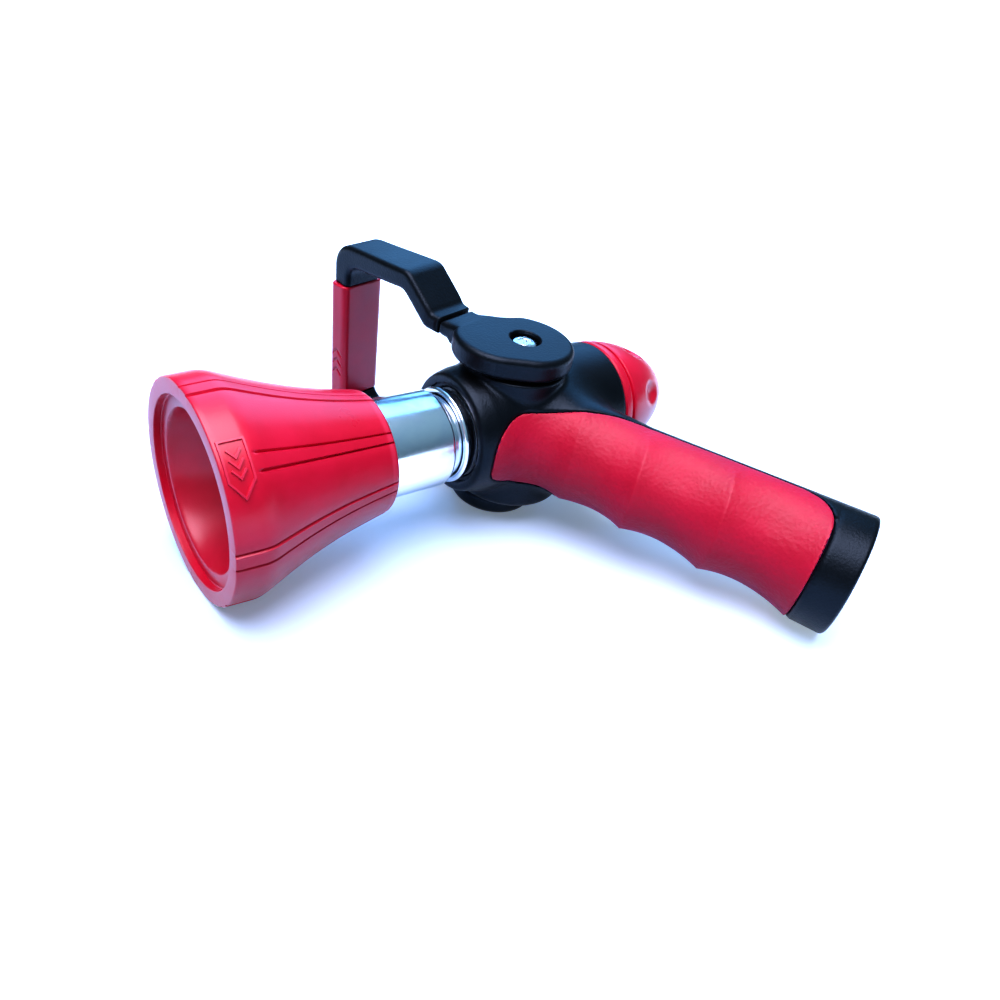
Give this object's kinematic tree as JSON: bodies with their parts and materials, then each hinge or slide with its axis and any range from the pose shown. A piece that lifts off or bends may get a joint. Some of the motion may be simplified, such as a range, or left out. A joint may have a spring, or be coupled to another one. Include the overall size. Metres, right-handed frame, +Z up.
{
  "type": "hose nozzle",
  "caption": "Hand-held hose nozzle with a flared twist bell, bright metal barrel, pistol grip with finger ridges and a swinging bail lever on a ball valve.",
  "frame": {"origin": "middle of the underside of the bounding box, with the nozzle lying on its side", "axes": "+X from the bell towards the rear cap along the barrel, +Y away from the grip towards the bail, +Z up along the lever's pivot axis"},
  "size_m": [0.1508, 0.1642, 0.067],
  "materials": {
    "casting": "die-cast, matt",
    "black_rubber": "satin black overmould with fine grain",
    "red_rubber": "soft red rubber with leathery grain",
    "red_plastic": "satin crimson moulding",
    "coupling_metal": "plated, turned thread",
    "seal_rubber": "smooth black",
    "chrome": "mirror plated",
    "white_plastic": "natural white",
    "brass": "turned",
    "steel": "bright"
  },
  "bodies": {
    "nozzle_body": {"valve_casting": "casting", "housing_overmould": "black_rubber", "grip_panel": "red_rubber", "inlet_coupling": "coupling_metal", "inlet_washer": "seal_rubber", "barrel_tube": "chrome", "barrel_lip_ring": "chrome", "stem_spider": "white_plastic", "spray_stem": "brass", "ball_seat": "white_plastic", "ball_seat_o_ring": "seal_rubber", "rear_plug": "brass", "rear_plug_o_ring": "seal_rubber", "rear_cap": "red_plastic", "rear_cap_gasket": "red_rubber"},
    "bell_carriage": {"bell_o_ring": "seal_rubber"},
    "bell": {"bell": "red_plastic", "bell_thread_bush": "brass"},
    "lever": {"valve_ball": "steel", "lever_bail": "black_rubber", "bail_sleeve": "red_plastic", "upper_lever_hub": "black_rubber", "lower_lever_hub": "black_rubber", "upper_stem": "brass", "lower_stem": "brass", "upper_stem_o_ring": "seal_rubber", "lower_stem_o_ring": "seal_rubber", "upper_hub_screw": "steel", "lower_hub_screw": "steel"}
  },
  "joints": [
    {"name": "lever_swing", "type": "hinge", "parent": "nozzle_body", "child": "lever", "pos_m": [0.01655, 0.0168, 0.03348], "axis": [0, 0, 1], "range_deg": [-45, 45]},
    {"name": "bell_advance", "type": "slide", "parent": "nozzle_body", "child": "bell_carriage", "axis": [1, 0, 0], "range_m": [-0.0021, 0.0021]},
    {"name": "bell_twist", "type": "hinge", "parent": "bell_carriage", "child": "bell", "pos_m": [-0.04345, 0.0168, 0.03348], "axis": [1, 0, 0], "range_deg": [-90, 90]}
  ],
  "couplings": [
    {"joint": "bell_advance", "follows": "bell_twist", "m_per_rad": 0.0013}
  ]
}
